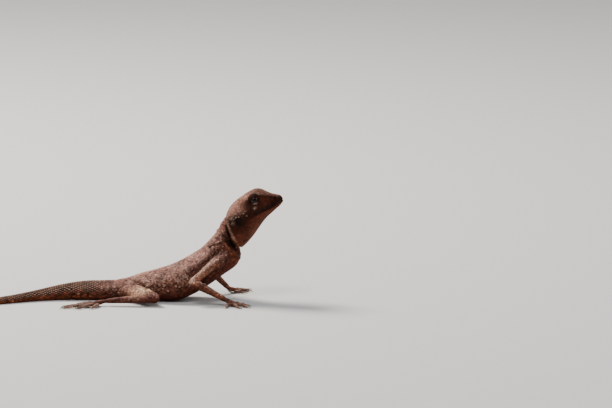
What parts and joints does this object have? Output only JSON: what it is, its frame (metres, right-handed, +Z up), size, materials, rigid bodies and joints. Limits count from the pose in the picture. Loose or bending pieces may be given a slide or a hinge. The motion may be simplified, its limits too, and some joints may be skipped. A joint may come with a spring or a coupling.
{
  "type": "sinai agama",
  "caption": "Life-size still model of a Sinai agama lizard resting on its belly, with the fore body propped on its arms, the head raised and the long thin tail laid out behind.",
  "frame": {"origin": "centre of the belly's resting flat, on the floor", "axes": "+X towards the head, +Y to the animal's left, +Z up"},
  "size_m": [0.1988, 0.0714, 0.053],
  "materials": {
    "back": "matt scaly hide",
    "head": "matt scaly hide",
    "limb": "matt scaly hide",
    "tail": "matt scaly hide",
    "eye": "wet gloss"
  },
  "bodies": {
    "root": {"torso": "back", "neck": "back", "head": "head", "tail_base": "tail", "tail_middle": "tail", "tail_tip": "tail", "right_eye": "eye", "right_upper_arm": "limb", "right_forearm": "limb", "right_hand": "limb", "right_thigh": "limb", "right_shank": "limb", "right_foot": "limb", "left_eye": "eye", "left_upper_arm": "limb", "left_forearm": "limb", "left_hand": "limb", "left_thigh": "limb", "left_shank": "limb", "left_foot": "limb"}
  },
  "joints": []
}
